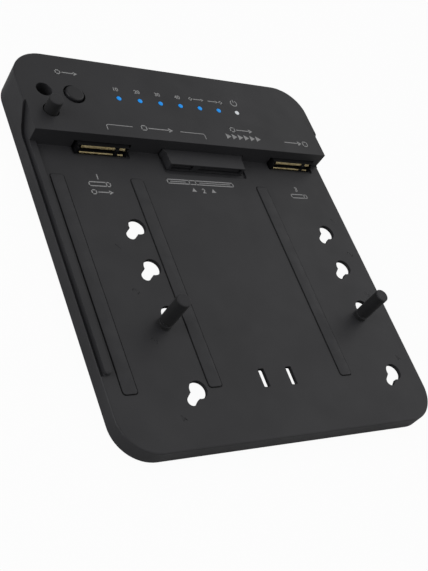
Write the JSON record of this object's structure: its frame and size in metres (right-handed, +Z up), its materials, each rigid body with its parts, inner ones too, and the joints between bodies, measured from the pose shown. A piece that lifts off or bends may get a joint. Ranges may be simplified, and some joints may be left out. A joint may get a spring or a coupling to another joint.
{
  "type": "drive duplicator",
  "caption": "Flat drive duplicator: wide deck with card keyholes and rubber strips, raised head with card sockets, drive connector, lights, key and rear ports.",
  "frame": {"origin": "under the middle of the housing, on the surface that the feet stand on", "axes": "+X to the right, +Y to the rear where the head is, +Z up; the front edge of the deck faces -Y"},
  "size_m": [0.1414, 0.1648, 0.0224],
  "materials": {
    "housing_plastic": "fine moulded grain",
    "cover_plastic": "moulded grain",
    "strip_rubber": "matt rubber",
    "pin_rubber": "matt rubber",
    "foot_rubber": "matt rubber",
    "board_laminate": "solder mask",
    "socket_plastic": "moulded",
    "contact_gold": "gold plated",
    "clear_blue": "clear",
    "clear_white": "clear",
    "led_package": "moulded",
    "key_plastic": "fine moulded grain",
    "switch_steel": "satin",
    "chip_resin": "moulded",
    "coil_ferrite": "sintered",
    "can_aluminium": "satin",
    "screw_steel": "black oxide",
    "port_steel": "satin"
  },
  "bodies": {
    "base": {"top_housing": "housing_plastic", "bottom_cover": "cover_plastic", "main_board": "board_laminate", "card_socket_left": "socket_plastic", "card_contacts_left": "contact_gold", "card_socket_right": "socket_plastic", "card_contacts_right": "contact_gold", "drive_connector": "socket_plastic", "drive_contacts": "contact_gold", "grip_strip_left": "strip_rubber", "grip_strip_middle": "strip_rubber", "grip_strip_right": "strip_rubber", "rubber_feet": "foot_rubber", "progress_light_pipes": "clear_blue", "power_light_pipe": "clear_white", "status_leds": "led_package", "key_switch": "switch_steel", "dc_inlet": "socket_plastic", "dc_inlet_pin": "port_steel", "data_port_shell": "port_steel", "data_port_tongue": "socket_plastic", "power_switch_case": "socket_plastic", "cover_screws": "screw_steel", "board_screws": "screw_steel", "controller_chip": "chip_resin", "bridge_chips": "chip_resin", "power_coils": "coil_ferrite", "capacitors": "can_aluminium"},
    "clone_key": {"clone_button": "key_plastic", "key_plunger": "key_plastic"},
    "left_pin": {"card_pin_left": "pin_rubber"},
    "right_pin": {"card_pin_right": "pin_rubber"},
    "stored_pin": {"spare_pin": "pin_rubber"},
    "rocker": {"power_rocker": "key_plastic"}
  },
  "joints": [
    {"name": "clone_button_press", "type": "slide", "parent": "base", "child": "clone_key", "axis": [0, 0, -1], "range_m": [0, 0.0008], "stiffness_N_per_m": 500, "springref_m": -0.0005},
    {"name": "card_pin_left_slide", "type": "slide", "parent": "base", "child": "left_pin", "axis": [0.7071, 0.7071, 0], "range_m": [0, 0.0055]},
    {"name": "card_pin_right_slide", "type": "slide", "parent": "base", "child": "right_pin", "axis": [0.7071, 0.7071, 0], "range_m": [0, 0.0055]},
    {"name": "spare_pin_lift", "type": "slide", "parent": "base", "child": "stored_pin", "axis": [0, 0, 1], "range_m": [0, 0.014]},
    {"name": "power_rocker_tilt", "type": "hinge", "parent": "base", "child": "rocker", "pos_m": [0.04, 0.07845, 0.00805], "axis": [0, 0, 1], "range_deg": [0, 20]}
  ]
}
